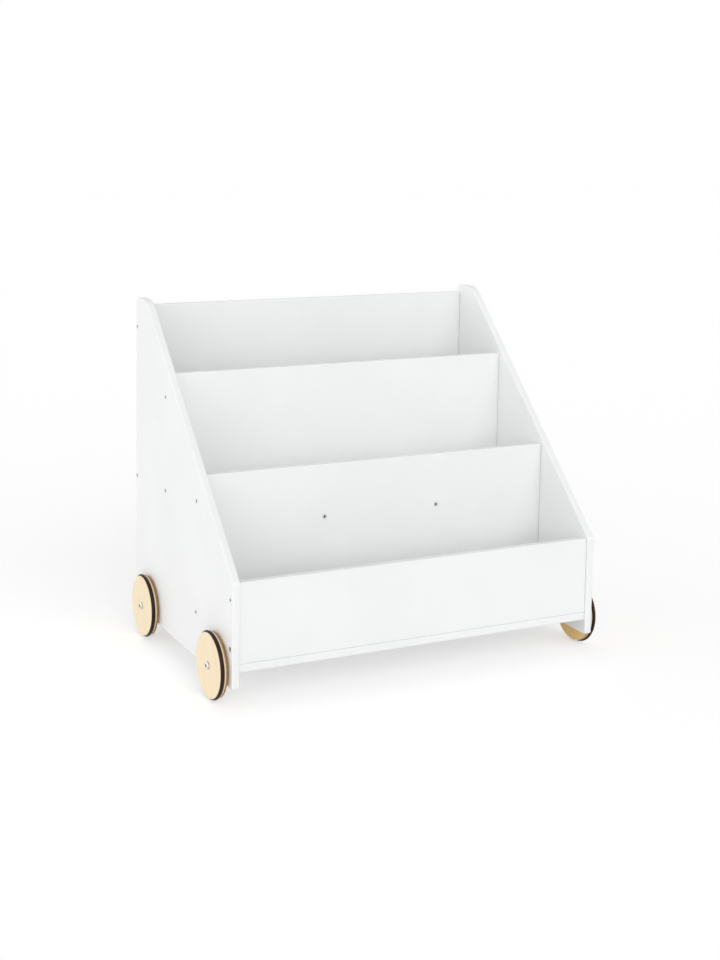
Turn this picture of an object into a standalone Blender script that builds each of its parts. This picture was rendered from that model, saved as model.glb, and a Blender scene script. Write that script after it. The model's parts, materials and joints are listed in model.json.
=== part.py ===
"""A rolling bookcase for children's books.

Two slanted side panels hold three book pockets that rise in steps towards the back.
Below the two rear pockets lies an open shelf. The case rolls on four plywood wheels,
each with a rubber ring, that turn on steel sleeves outside the side panels.
+X runs across the width, -Y is the front, +Z is up. The floor is Z = 0.
"""

import math

import bmesh
import bpy
from mathutils import Euler, Matrix, Vector

# Case
CASE_WIDTH = 0.620          # across the outer faces of the side panels
CASE_DEPTH = 0.425          # front edge to rear edge of a side panel
BOARD = 0.012               # thickness of every board
PANEL_HEIGHT = 0.5185       # bottom edge to top edge of a side panel
PANEL_TOP_DEPTH = 0.0495    # rear edge to the start of the slanted edge
SLANT_FOOT = 0.1565         # height where the slanted edge meets the front edge
SLANT_TOP_RADIUS = 0.040
SLANT_FOOT_RADIUS = 0.008
REAR_TOP_RADIUS = 0.012
PANEL_FOOT_RADIUS = 0.003
PANEL_EDGE_ROUND = 0.0015   # rounding along the rim of a side panel
BOARD_EDGE_ROUND = 0.0010   # rounding on the other boards

# Boards between the side panels, heights from the bottom edge of the panels
FRONT_SETBACK = 0.003       # front board behind the panels' front edge
BASE_HEIGHT = 0.0235        # underside of the bottom board
SHELF_HEIGHT = 0.1930       # underside of the shelf floor
DIVIDER_DROP = 0.009        # tops of the two dividers below the panels' slanted edge
BACK_DROP = 0.0125          # top of the back panel below the panels' top edge

# Screws: how far the side screws stand from the upper and lower edge of each board
FRONT_SCREW_MARGINS = (0.0260, 0.0230)
MIDDLE_SCREW_MARGINS = (0.0395, 0.0360)
UPPER_SCREW_MARGINS = (0.0375, 0.0215)
BACK_SCREW_MARGINS = (0.0360, 0.0280)
SCREW_RADIUS = 0.0022
SCREW_LENGTH = 0.042
SCREW_TIP = 0.005
SCREW_HEAD_RADIUS = 0.0038
SCREW_HEAD_RIM = 0.0004     # straight rim above the cone of the head
SCREW_HEAD_CONE = 0.0022
SCREW_SOCKET = 0.0030       # across the flats of the hexagon
SCREW_SOCKET_DEPTH = 0.0018
SCREW_SINK = 0.0002         # head below the face of the board
PILOT_SPARE = 0.002         # bore past the tip of a screw

# Wheels
DISC_RADIUS = 0.0480
DISC_THICKNESS = 0.012
DISC_EDGE_CHAMFER = 0.0005
WHEEL_GAP = 0.003           # side panel to the inner face of a wheel
AXLE_HEIGHT = 0.0205        # axles above the bottom edge of the panels
FRONT_AXLE_INSET = 0.0565   # front axles from the front edge of a panel
REAR_AXLE_INSET = 0.072     # rear axles from the rear edge of a panel
TYRE_WIDTH = 0.0055
TYRE_LIP = 0.0010           # wood between the groove and the outer face
TYRE_PROUD = 0.0025         # tyre above the rim of the disc
TYRE_DEPTH = 0.0027         # tyre below the rim of the disc

# Axles
BOLT_RADIUS = 0.003
BOLT_HEAD_RADIUS = 0.0060
BOLT_HEAD_HEIGHT = 0.0026
BOLT_SOCKET = 0.0040        # across the flats of the hexagon
BOLT_SOCKET_DEPTH = 0.0018
BOLT_SHORTFALL = 0.0005     # tip of a bolt below the inner face of the side panel
BOLT_TIP = 0.001
SLEEVE_WALL = 0.0010
WHEEL_PLAY = 0.0003         # end play of a wheel under the bolt's head
WASHER_RADIUS = 0.009
NUT_RADIUS = 0.005
NUT_LENGTH = 0.010
NUT_SINK = 0.0003           # nut below the inner face of the side panel
NUT_SLOT_WIDTH = 0.0012
NUT_SLOT_DEPTH = 0.0010

# Fits and facets
GAP = 0.0003                # between pieces that touch, and running clearance
OVERCUT = 0.002             # how far a cutter starts outside the wood
WHEEL_FACETS = 36
SMALL_FACETS = 12
SCREW_FACETS = 10
ARC_STEP = math.radians(12)

# Derived places
TYRE_RADIUS = DISC_RADIUS + TYRE_PROUD
PANEL_BOTTOM = TYRE_RADIUS - AXLE_HEIGHT
INNER_WIDTH = CASE_WIDTH - 2 * BOARD
BOARD_LENGTH = INNER_WIDTH - 2 * GAP
FRONT_ROW = FRONT_SETBACK + BOARD / 2
BACK_ROW = CASE_DEPTH - BOARD / 2
ROW_PITCH = (BACK_ROW - FRONT_ROW) / 3
MIDDLE_ROW = FRONT_ROW + ROW_PITCH
UPPER_ROW = FRONT_ROW + 2 * ROW_PITCH
BASE_TOP = BASE_HEIGHT + BOARD
SHELF_TOP = SHELF_HEIGHT + BOARD
SCREW_SPREAD = INNER_WIDTH / 6
SLEEVE_BORE = BOLT_RADIUS + GAP
SLEEVE_RADIUS = SLEEVE_BORE + SLEEVE_WALL
WHEEL_BORE = SLEEVE_RADIUS + GAP
HEAD_SEAT = WHEEL_GAP + DISC_THICKNESS + WHEEL_PLAY + GAP

PAINT = ("white_lacquer", (0.90, 0.90, 0.90), 0.38, 0.0)
WOOD = ("birch_plywood", (0.88, 0.74, 0.50), 0.50, 0.0)
RUBBER = ("dark_rubber", (0.022, 0.014, 0.012), 0.60, 0.0)
STEEL = ("zinc_steel", (0.56, 0.56, 0.57), 0.32, 1.0)
NYLON = ("natural_nylon", (0.78, 0.77, 0.73), 0.45, 0.0)

ROW_WORDS = ("front", "middle", "upper", "back")


def clear_scene():
    for item in list(bpy.data.objects):
        bpy.data.objects.remove(item, do_unlink=True)


def new_collection(name):
    made = bpy.data.collections.new(name)
    bpy.context.scene.collection.children.link(made)
    return made


def move_to(item, collection):
    for owner in list(item.users_collection):
        owner.objects.unlink(item)
    collection.objects.link(item)


def finish(item, look, parts):
    """Give a piece its own material and smooth shading, and file it with the parts."""
    name, colour, roughness, metallic = look
    material = bpy.data.materials.new(item.name + "_" + name)
    material.use_nodes = True
    shader = material.node_tree.nodes["Principled BSDF"]
    shader.inputs["Base Color"].default_value = (*colour, 1.0)
    shader.inputs["Roughness"].default_value = roughness
    shader.inputs["Metallic"].default_value = metallic
    material.diffuse_color = (*colour, 1.0)
    item.data.materials.clear()
    item.data.materials.append(material)
    item.data.shade_smooth()
    item.data.set_sharp_from_angle(angle=math.radians(35))
    move_to(item, parts)
    return item


def place(across, along, height):
    """World point from the width, the depth behind the panels' front edge and the height."""
    return Vector((across, along - CASE_DEPTH / 2, PANEL_BOTTOM + height))


def slant_height(along):
    """Height of the straight slanted edge at a depth behind the front edge."""
    run = CASE_DEPTH - PANEL_TOP_DEPTH
    return SLANT_FOOT + (PANEL_HEIGHT - SLANT_FOOT) * along / run


def rounded_outline(corners):
    """Points of a closed outline whose corners, given as (x, y, radius), are arcs."""
    points = []
    count = len(corners)
    for index, (x, y, radius) in enumerate(corners):
        corner = Vector((x, y))
        before = (Vector(corners[index - 1][:2]) - corner).normalized()
        after = (Vector(corners[(index + 1) % count][:2]) - corner).normalized()
        half = before.angle(after) / 2
        reach = radius / math.tan(half)
        centre = corner + (before + after).normalized() * radius / math.sin(half)
        start = corner + before * reach - centre
        turn = math.pi - 2 * half
        steps = max(1, math.ceil(turn / ARC_STEP))
        for step in range(steps + 1):
            angle = turn * step / steps
            arm = Matrix.Rotation(angle, 2) @ start
            points.append(centre + arm)
    return points


def curve_plate(name, outline, thickness):
    """A flat plate from an outline, as a mesh in the curve's own XY plane."""
    curve = bpy.data.curves.new(name, "CURVE")
    curve.dimensions = "2D"
    curve.fill_mode = "BOTH"
    curve.extrude = thickness / 2
    spline = curve.splines.new("POLY")
    spline.points.add(len(outline) - 1)
    for point, (x, y) in zip(spline.points, outline):
        point.co = (x, y, 0, 1)
    spline.use_cyclic_u = True
    drawn = bpy.data.objects.new(name + "_outline", curve)
    bpy.context.scene.collection.objects.link(drawn)
    graph = bpy.context.evaluated_depsgraph_get()
    mesh = bpy.data.meshes.new_from_object(drawn.evaluated_get(graph))
    work = bmesh.new()
    work.from_mesh(mesh)
    bmesh.ops.remove_doubles(work, verts=work.verts, dist=1e-6)
    work.to_mesh(mesh)
    work.free()
    plate = bpy.data.objects.new(name, mesh)
    plate.matrix_world = drawn.matrix_world
    bpy.data.objects.remove(drawn, do_unlink=True)
    bpy.context.scene.collection.objects.link(plate)
    return plate


def round_edges(item, width):
    bevel = item.modifiers.new("edge_round", "BEVEL")
    bevel.width = width
    bevel.segments = 2
    bevel.limit_method = "ANGLE"
    bevel.angle_limit = math.radians(60)


def cut(item, cutter):
    hole = item.modifiers.new(cutter.name, "BOOLEAN")
    hole.operation = "DIFFERENCE"
    hole.solver = "EXACT"
    hole.object = cutter


def spread(facets):
    """What a radius grows by where its facets' flats, not their edges, lie on the true circle."""
    return 1 / math.cos(math.pi / facets)


def hidden_cutter(name, work, cutters):
    """An object from a bmesh that only cuts other pieces."""
    mesh = bpy.data.meshes.new(name)
    work.to_mesh(mesh)
    work.free()
    cutter = bpy.data.objects.new(name, mesh)
    cutter.hide_render = True
    cutter.display_type = "WIRE"
    cutters.objects.link(cutter)
    return cutter


def cone_cutter(name, cones, cutters):
    """One cutter made of separate cones, each (start, direction, length, radius, end radius, sides)."""
    work = bmesh.new()
    for start, direction, length, radius, end_radius, sides in cones:
        turn = direction.to_track_quat("Z", "Y").to_matrix().to_4x4()
        middle = start + direction * length / 2
        bmesh.ops.create_cone(
            work, cap_ends=True, segments=sides, radius1=radius * spread(sides),
            radius2=end_radius * spread(sides), depth=length,
            matrix=Matrix.Translation(middle) @ turn)
    return hidden_cutter(name, work, cutters)


def drill(item, bores, cutters, label="_bores"):
    """Cut round bores, each (mouth, direction, depth, radius, sides)."""
    cones = []
    for mouth, direction, depth, radius, sides in bores:
        start = mouth - direction * OVERCUT
        cones.append((start, direction, depth + OVERCUT, radius, radius, sides))
    cut(item, cone_cutter(item.name + label, cones, cutters))


def countersink(item, screws, cutters):
    """Cut the cones that the heads of the screws sit in, at (head point, direction)."""
    slope = (SCREW_HEAD_RADIUS - SCREW_RADIUS) / SCREW_HEAD_CONE
    cone_start = SCREW_SINK + SCREW_HEAD_RIM
    mouth_radius = SCREW_HEAD_RADIUS + GAP + slope * (cone_start + OVERCUT)
    end_radius = SCREW_RADIUS + GAP
    length = (mouth_radius - end_radius) / slope
    cones = []
    for head, direction in screws:
        start = head - direction * OVERCUT
        cones.append((start, direction, length, mouth_radius, end_radius, SCREW_FACETS))
    cut(item, cone_cutter(item.name + "_countersinks", cones, cutters))


def clearance_bore(screw):
    head, direction = screw
    return (head, direction, BOARD + OVERCUT, SCREW_RADIUS + GAP, SCREW_FACETS)


def pilot_bore(screw):
    """The bore in the board behind the one that the screw's head sits in."""
    head, direction = screw
    mouth = head + direction * BOARD
    depth = SCREW_LENGTH - BOARD + PILOT_SPARE
    return (mouth, direction, depth, SCREW_RADIUS + GAP, SCREW_FACETS)


def box_board(name, size, centre):
    bpy.ops.mesh.primitive_cube_add(size=1, location=centre)
    board = bpy.context.active_object
    board.name = name
    board.data.name = name
    board.scale = size
    bpy.ops.object.transform_apply(location=False, rotation=False, scale=True)
    round_edges(board, BOARD_EDGE_ROUND)
    return board


def upright_board(name, row, bottom, top):
    """A board across the case on one of its rows."""
    size = (BOARD_LENGTH, BOARD, top - bottom)
    return box_board(name, size, place(0, row, (bottom + top) / 2))


def turned(name, profile, facets, closed):
    """A turned piece about its own Z. The profile holds (radius, height), outer side downwards."""
    grow = spread(facets)
    count = len(profile)
    edges = [(n, n + 1) for n in range(count - 1)]
    if closed:
        edges.append((count - 1, 0))
    mesh = bpy.data.meshes.new(name)
    mesh.from_pydata([(radius * grow, 0, height) for radius, height in profile], edges, [])
    item = bpy.data.objects.new(name, mesh)
    bpy.context.scene.collection.objects.link(item)
    spin = item.modifiers.new("turning", "SCREW")
    spin.axis = "Z"
    spin.steps = facets
    spin.render_steps = facets
    spin.use_merge_vertices = True
    spin.merge_threshold = 1e-5
    spin.use_normal_calculate = False
    return item


def hex_socket(item, top, across, depth, cutters):
    """Sink a hexagon socket into a turned piece from its top."""
    start = Vector((0, 0, top + OVERCUT))
    down = Vector((0, 0, -1))
    cones = [(start, down, depth + OVERCUT, across / 2, across / 2, 6)]
    cutter = cone_cutter(item.name + "_socket", cones, cutters)
    cutter.parent = item
    cut(item, cutter)


def driving_slot(item, end, cutters):
    """Cut the slot of a screwdriver across a nut at one of its ends."""
    work = bmesh.new()
    shape = Matrix.Diagonal((2 * (NUT_RADIUS + OVERCUT), NUT_SLOT_WIDTH, 2 * NUT_SLOT_DEPTH, 1))
    bmesh.ops.create_cube(work, size=1, matrix=Matrix.Translation((0, 0, end)) @ shape)
    cutter = hidden_cutter(item.name + "_slot", work, cutters)
    cutter.parent = item
    cut(item, cutter)


def side_screw_rows():
    """Depth and height of every screw through a side panel."""
    rows = (
        (FRONT_ROW, BASE_TOP, SLANT_FOOT, FRONT_SCREW_MARGINS),
        (MIDDLE_ROW, BASE_TOP, divider_top(MIDDLE_ROW), MIDDLE_SCREW_MARGINS),
        (UPPER_ROW, SHELF_TOP, divider_top(UPPER_ROW), UPPER_SCREW_MARGINS),
        (BACK_ROW, SHELF_HEIGHT, back_top(), BACK_SCREW_MARGINS),
    )
    spots = {}
    for row, bottom, top, (upper_margin, lower_margin) in rows:
        spots[row] = (top - upper_margin, bottom + lower_margin)
    return spots


def divider_top(row):
    return slant_height(row - BOARD / 2) - DIVIDER_DROP


def back_top():
    return PANEL_HEIGHT - BACK_DROP


def side_screws(side):
    """(head point, direction) of the screws through one side panel, filed by row."""
    inward = Vector((-side, 0, 0))
    outer = side * CASE_WIDTH / 2
    rows = side_screw_rows()
    return {row: [(place(outer, row, height), inward) for height in heights]
            for row, heights in rows.items()}


def cross_screws(row_face, height, direction):
    """The pair of screws that holds one long edge of a board."""
    return [(place(across, row_face, height), direction)
            for across in (-SCREW_SPREAD, SCREW_SPREAD)]


def axle_points(side):
    """Where the two axles of one side leave the outer face of its panel."""
    outer = side * CASE_WIDTH / 2
    return {"front": place(outer, FRONT_AXLE_INSET, AXLE_HEIGHT),
            "rear": place(outer, CASE_DEPTH - REAR_AXLE_INSET, AXLE_HEIGHT)}


def make_side_panel(name, side, parts, cutters):
    corners = (
        (0, 0, PANEL_FOOT_RADIUS),
        (CASE_DEPTH, 0, PANEL_FOOT_RADIUS),
        (CASE_DEPTH, PANEL_HEIGHT, REAR_TOP_RADIUS),
        (CASE_DEPTH - PANEL_TOP_DEPTH, PANEL_HEIGHT, SLANT_TOP_RADIUS),
        (0, SLANT_FOOT, SLANT_FOOT_RADIUS),
    )
    panel = curve_plate(name, rounded_outline(corners), BOARD)
    panel.rotation_euler = Euler((math.pi / 2, 0, math.pi / 2))
    panel.location = place(side * (CASE_WIDTH - BOARD) / 2, 0, 0)
    round_edges(panel, PANEL_EDGE_ROUND)
    inward = Vector((-side, 0, 0))
    screws = [screw for row in side_screws(side).values() for screw in row]
    bores = [clearance_bore(screw) for screw in screws]
    nut_bores = []
    for point in axle_points(side).values():
        bores.append((point, inward, BOARD + OVERCUT, BOLT_RADIUS + GAP, SMALL_FACETS))
        nut_bores.append((point + inward * BOARD, -inward, NUT_SINK + NUT_LENGTH + GAP,
                          NUT_RADIUS + GAP, SMALL_FACETS))
    drill(panel, bores, cutters)
    drill(panel, nut_bores, cutters, label="_nut_bores")
    countersink(panel, screws, cutters)
    return finish(panel, PAINT, parts)


def end_bores(row):
    """Pilot bores in both ends of the upright board on a row."""
    return [pilot_bore(screw) for side in (-1, 1) for screw in side_screws(side)[row]]


def make_bottom_board(under_screws, parts, cutters):
    depth = CASE_DEPTH - FRONT_SETBACK
    centre = place(0, FRONT_SETBACK + depth / 2, BASE_HEIGHT + BOARD / 2)
    board = box_board("bottom_board", (BOARD_LENGTH, depth, BOARD), centre)
    drill(board, [clearance_bore(screw) for screw in under_screws], cutters)
    countersink(board, under_screws, cutters)
    return finish(board, PAINT, parts)


def make_upright_boards(under_screws, shelf_front, shelf_rear, parts, cutters):
    front = upright_board("front_board", FRONT_ROW, BASE_TOP + GAP, SLANT_FOOT)
    drill(front, end_bores(FRONT_ROW) + [pilot_bore(s) for s in under_screws["front"]], cutters)
    finish(front, PAINT, parts)

    middle = upright_board("middle_divider", MIDDLE_ROW, BASE_TOP + GAP, divider_top(MIDDLE_ROW))
    bores = end_bores(MIDDLE_ROW) + [pilot_bore(s) for s in under_screws["middle"]]
    drill(middle, bores + [clearance_bore(s) for s in shelf_front], cutters)
    countersink(middle, shelf_front, cutters)
    finish(middle, PAINT, parts)

    upper = upright_board("upper_divider", UPPER_ROW, SHELF_TOP + GAP, divider_top(UPPER_ROW))
    drill(upper, end_bores(UPPER_ROW), cutters)
    finish(upper, PAINT, parts)

    back = upright_board("back_panel", BACK_ROW, SHELF_HEIGHT, back_top())
    drill(back, end_bores(BACK_ROW) + [clearance_bore(s) for s in shelf_rear], cutters)
    countersink(back, shelf_rear, cutters)
    finish(back, PAINT, parts)


def make_shelf_floor(shelf_front, shelf_rear, parts, cutters):
    start = MIDDLE_ROW + BOARD / 2 + GAP
    end = BACK_ROW - BOARD / 2 - GAP
    size = (BOARD_LENGTH, end - start, BOARD)
    centre = place(0, (start + end) / 2, SHELF_HEIGHT + BOARD / 2)
    shelf = box_board("shelf_floor", size, centre)
    drill(shelf, [pilot_bore(screw) for screw in shelf_front + shelf_rear], cutters)
    return finish(shelf, PAINT, parts)


def make_screw_pattern(cutters):
    """One countersunk screw with its head at Z = 0 and its tip down."""
    cone_top = -SCREW_HEAD_RIM
    cone_end = cone_top - SCREW_HEAD_CONE
    profile = (
        (0, 0),
        (SCREW_HEAD_RADIUS, 0),
        (SCREW_HEAD_RADIUS, cone_top),
        (SCREW_RADIUS, cone_end),
        (SCREW_RADIUS, SCREW_TIP - SCREW_LENGTH),
        (0, -SCREW_LENGTH),
    )
    pattern = turned("screw_pattern", profile, SCREW_FACETS, closed=False)
    hex_socket(pattern, 0, SCREW_SOCKET, SCREW_SOCKET_DEPTH, cutters)
    return pattern


def screw_mesh(cutters):
    """The finished mesh that every screw shares."""
    pattern = make_screw_pattern(cutters)
    graph = bpy.context.evaluated_depsgraph_get()
    mesh = bpy.data.meshes.new_from_object(pattern.evaluated_get(graph))
    mesh.name = "screw"
    for item in [*pattern.children, pattern]:
        bpy.data.objects.remove(item, do_unlink=True)
    return mesh


def make_screw(name, mesh, screw, parts):
    """One screw with its origin at the middle of its head."""
    head, direction = screw
    item = bpy.data.objects.new(name, mesh)
    item.location = head + direction * SCREW_SINK
    item.rotation_euler = direction.to_track_quat("-Z", "Y").to_euler()
    bpy.context.scene.collection.objects.link(item)
    if mesh.materials:
        move_to(item, parts)
    else:
        finish(item, STEEL, parts)


def disc_profile():
    """Half section of a wheel disc from its inner face upwards, with the groove of the tyre."""
    top = DISC_THICKNESS
    chamfer = DISC_EDGE_CHAMFER
    groove_top = top - TYRE_LIP
    groove_end = groove_top - TYRE_WIDTH - 2 * GAP
    groove_radius = DISC_RADIUS - TYRE_DEPTH - GAP
    return (
        (WHEEL_BORE, top),
        (DISC_RADIUS - chamfer, top),
        (DISC_RADIUS, top - chamfer),
        (DISC_RADIUS, groove_top),
        (groove_radius, groove_top),
        (groove_radius, groove_end),
        (DISC_RADIUS, groove_end),
        (DISC_RADIUS, chamfer),
        (DISC_RADIUS - chamfer, 0),
        (WHEEL_BORE, 0),
    )


def tyre_profile():
    """Half section of a tyre: flat where it sits in the groove, round where it rolls."""
    top = DISC_THICKNESS - TYRE_LIP - GAP
    middle = top - TYRE_WIDTH / 2
    seat = DISC_RADIUS - TYRE_DEPTH
    crown = TYRE_WIDTH / 2
    shoulder = TYRE_RADIUS - crown
    steps = 6
    section = [(seat, top)]
    for step in range(steps + 1):
        angle = math.pi * (0.5 - step / steps)
        section.append((shoulder + crown * math.cos(angle), middle + crown * math.sin(angle)))
    section.append((seat, top - TYRE_WIDTH))
    return section


def bolt_profile():
    """Half section of an axle bolt. Height 0 is the outer face of the side panel."""
    seat = HEAD_SEAT
    top = seat + BOLT_HEAD_HEIGHT
    tip = BOLT_SHORTFALL - BOARD
    return (
        (0, top),
        (BOLT_HEAD_RADIUS * 0.62, top),
        (BOLT_HEAD_RADIUS * 0.90, top - BOLT_HEAD_HEIGHT * 0.28),
        (BOLT_HEAD_RADIUS, seat + BOLT_HEAD_HEIGHT * 0.35),
        (BOLT_HEAD_RADIUS, seat),
        (BOLT_RADIUS, seat),
        (BOLT_RADIUS, tip + BOLT_TIP),
        (BOLT_RADIUS - BOLT_TIP, tip),
        (0, tip),
    )


def ring_profile(bore, radius, start, end):
    return ((bore, end), (radius, end), (radius, start), (bore, start))


def make_wheel(corner, side, point, parts, cutters):
    """One wheel and its axle, about an empty on the axle at the panel's outer face."""
    axis = bpy.data.objects.new("wheel_axis_" + corner, None)
    axis.location = point
    axis.rotation_euler = Euler((0, side * math.pi / 2, 0))
    move_to(axis, parts)

    def hang(item, look, height):
        item.parent = axis
        item.location = (0, 0, height)
        item.rotation_euler = Euler((0, 0, math.pi / WHEEL_FACETS))
        return finish(item, look, parts)

    disc = turned("wheel_disc_" + corner, disc_profile(), WHEEL_FACETS, closed=True)
    hang(disc, WOOD, WHEEL_GAP)
    tyre = turned("tyre_" + corner, tyre_profile(), WHEEL_FACETS, closed=True)
    hang(tyre, RUBBER, WHEEL_GAP)
    sleeve_section = ring_profile(SLEEVE_BORE, SLEEVE_RADIUS, GAP, HEAD_SEAT - GAP)
    hang(turned("axle_sleeve_" + corner, sleeve_section, SMALL_FACETS, closed=True), STEEL, 0)
    washer_section = ring_profile(WHEEL_BORE, WASHER_RADIUS, GAP, WHEEL_GAP - GAP)
    hang(turned("spacer_washer_" + corner, washer_section, SMALL_FACETS, closed=True), NYLON, 0)
    bolt = turned("axle_bolt_" + corner, bolt_profile(), SMALL_FACETS, closed=False)
    hex_socket(bolt, HEAD_SEAT + BOLT_HEAD_HEIGHT, BOLT_SOCKET, BOLT_SOCKET_DEPTH, cutters)
    hang(bolt, STEEL, 0)
    inner_end = NUT_SINK - BOARD
    nut_section = ring_profile(BOLT_RADIUS + GAP, NUT_RADIUS, inner_end, inner_end + NUT_LENGTH)
    nut = turned("insert_nut_" + corner, nut_section, SMALL_FACETS, closed=True)
    driving_slot(nut, inner_end, cutters)
    hang(nut, STEEL, 0)


def build():
    clear_scene()
    parts = new_collection("rolling_bookcase")
    cutters = new_collection("cutters")
    up = Vector((0, 0, 1))
    backward = Vector((0, 1, 0))
    under = {"front": cross_screws(FRONT_ROW, BASE_HEIGHT, up),
             "middle": cross_screws(MIDDLE_ROW, BASE_HEIGHT, up)}
    under_all = under["front"] + under["middle"]
    shelf_middle = SHELF_HEIGHT + BOARD / 2
    shelf_front = cross_screws(MIDDLE_ROW - BOARD / 2, shelf_middle, backward)
    shelf_rear = cross_screws(CASE_DEPTH, shelf_middle, -backward)

    sides = {"left": -1, "right": 1}
    for word, side in sides.items():
        make_side_panel(word + "_side_panel", side, parts, cutters)
    make_bottom_board(under_all, parts, cutters)
    make_upright_boards(under, shelf_front, shelf_rear, parts, cutters)
    make_shelf_floor(shelf_front, shelf_rear, parts, cutters)

    mesh = screw_mesh(cutters)
    for word, side in sides.items():
        for row_word, pair in zip(ROW_WORDS, side_screws(side).values()):
            for level, screw in zip(("high", "low"), pair):
                make_screw(f"panel_screw_{word}_{row_word}_{level}", mesh, screw, parts)
    pairs = {"base_screw_front": under["front"], "base_screw_middle": under["middle"],
             "shelf_screw_front": shelf_front, "shelf_screw_rear": shelf_rear}
    for start, pair in pairs.items():
        for word, screw in zip(sides, pair):
            make_screw(f"{start}_{word}", mesh, screw, parts)

    corners = [(end + "_" + word, side, point) for word, side in sides.items()
               for end, point in axle_points(side).items()]
    for corner, side, point in corners:
        make_wheel(corner, side, point, parts, cutters)


build()
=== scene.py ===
import json
import math
import bmesh
import bpy
import numpy as np
from mathutils import Matrix, Vector
from mathutils.geometry import delaunay_2d_cdt

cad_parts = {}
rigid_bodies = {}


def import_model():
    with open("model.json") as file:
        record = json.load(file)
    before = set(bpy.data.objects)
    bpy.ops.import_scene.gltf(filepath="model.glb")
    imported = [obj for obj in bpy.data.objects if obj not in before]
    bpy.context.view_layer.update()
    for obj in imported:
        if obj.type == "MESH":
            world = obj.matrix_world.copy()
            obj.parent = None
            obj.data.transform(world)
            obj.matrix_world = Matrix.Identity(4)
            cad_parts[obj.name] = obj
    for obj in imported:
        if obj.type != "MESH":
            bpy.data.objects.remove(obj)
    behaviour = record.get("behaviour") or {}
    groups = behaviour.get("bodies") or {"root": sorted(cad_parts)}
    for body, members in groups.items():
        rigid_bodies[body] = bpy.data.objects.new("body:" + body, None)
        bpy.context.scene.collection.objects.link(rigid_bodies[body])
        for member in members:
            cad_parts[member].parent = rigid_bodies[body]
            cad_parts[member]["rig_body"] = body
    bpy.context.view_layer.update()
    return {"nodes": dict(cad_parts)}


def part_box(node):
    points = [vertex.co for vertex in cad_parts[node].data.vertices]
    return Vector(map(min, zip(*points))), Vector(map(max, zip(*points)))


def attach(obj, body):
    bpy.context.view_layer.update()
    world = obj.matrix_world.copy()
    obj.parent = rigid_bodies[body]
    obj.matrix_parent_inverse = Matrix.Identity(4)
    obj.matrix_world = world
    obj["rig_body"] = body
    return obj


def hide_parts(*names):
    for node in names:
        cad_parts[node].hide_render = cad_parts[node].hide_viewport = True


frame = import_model()
scene = bpy.context.scene
scene.view_settings.view_transform = "Standard"
rng = np.random.default_rng(21)
print("frame loaded:", len(frame["nodes"]), "CAD nodes")


# camera, in the photograph's place
cameraPlan = {
    "place": (-1.1143, -2.1654, 0.8516),
    "heading": 25.571,      # degrees from +Y towards +X
    "pitch": 6.586,         # degrees down
    "roll": 0.830,
    "lens": 57.47,
    "shiftX": 0.0417,
    "shiftY": -0.1979,
}


def makeCamera(plan):
    # the view direction from heading and pitch; right and up are turned about it by the roll
    heading, pitch, roll = (math.radians(plan[k]) for k in ("heading", "pitch", "roll"))
    forward = np.array([math.sin(heading) * math.cos(pitch),
                        math.cos(heading) * math.cos(pitch), -math.sin(pitch)])
    level = np.array([math.cos(heading), -math.sin(heading), 0.0])
    upright = np.cross(level, forward)
    right = level * math.cos(roll) + upright * math.sin(roll)
    up = upright * math.cos(roll) - level * math.sin(roll)
    data = bpy.data.cameras.new("photoCamera")
    data.lens, data.sensor_width = plan["lens"], 36.0
    data.shift_x, data.shift_y = plan["shiftX"], plan["shiftY"]
    data.clip_start, data.clip_end = 0.05, 60.0
    camera = bpy.data.objects.new("photoCamera", data)
    scene.collection.objects.link(camera)
    turn = Matrix(np.array([right, up, -forward]).T.tolist()).to_4x4()
    camera.matrix_world = Matrix.Translation(plan["place"]) @ turn
    scene.camera = camera


makeCamera(cameraPlan)


# node helpers
def feed(tree, value, socket):
    # a socket is linked in, and a plain value is set
    if isinstance(value, bpy.types.NodeSocket):
        tree.links.new(value, socket)
    else:
        socket.default_value = value


def addNode(tree, kind, settings=None, **inputs):
    # one node; an input goes by its name, with _ for a space, or by n and its number
    node = tree.nodes.new(kind)
    for key, value in (settings or {}).items():
        setattr(node, key, value)
    for key, value in inputs.items():
        place = int(key[1:]) if key[0] == "n" and key[1:].isdigit() else key.replace("_", " ")
        feed(tree, value, node.inputs[place])
    return node


def maths(tree, operation, *values):
    # one Math node over numbers or sockets
    node = addNode(tree, "ShaderNodeMath", {"operation": operation})
    for value, socket in zip(values, node.inputs):
        feed(tree, value, socket)
    return node.outputs[0]


def vectorMaths(tree, operation, first, second):
    node = addNode(tree, "ShaderNodeVectorMath", {"operation": operation}, n0=first)
    feed(tree, second, node.inputs["Scale" if operation == "SCALE" else 1])
    return node.outputs[0]


def remap(tree, value, low, high, newLow, newHigh, smooth=True):
    # a value carried from one range to another, held at its ends
    node = addNode(tree, "ShaderNodeMapRange", {"interpolation_type": "SMOOTHSTEP" if smooth else "LINEAR"})
    for part, socket in zip((value, low, high, newLow, newHigh), node.inputs):
        feed(tree, part, socket)
    return node.outputs[0]


def mixColour(tree, factor, first, second):
    node = addNode(tree, "ShaderNodeMix", {"data_type": "RGBA"})
    for index, part in ((0, factor), (6, first), (7, second)):
        feed(tree, (*part, 1.0) if isinstance(part, tuple) else part, node.inputs[index])
    return node.outputs[2]


def newGroup(name, inputs, outputs):
    # an empty shader group with named sockets, and its two end nodes
    tree = bpy.data.node_groups.new(name, "ShaderNodeTree")
    for label, kind, value in inputs:
        socket = tree.interface.new_socket(label, in_out="INPUT", socket_type="NodeSocket" + kind)
        if value is not None:
            socket.default_value = value
    for label, kind in outputs:
        tree.interface.new_socket(label, in_out="OUTPUT", socket_type="NodeSocket" + kind)
    return tree, tree.nodes.new("NodeGroupInput"), tree.nodes.new("NodeGroupOutput")


def useGroup(tree, group, **inputs):
    return addNode(tree, "ShaderNodeGroup", {"node_tree": group}, **inputs)


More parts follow.
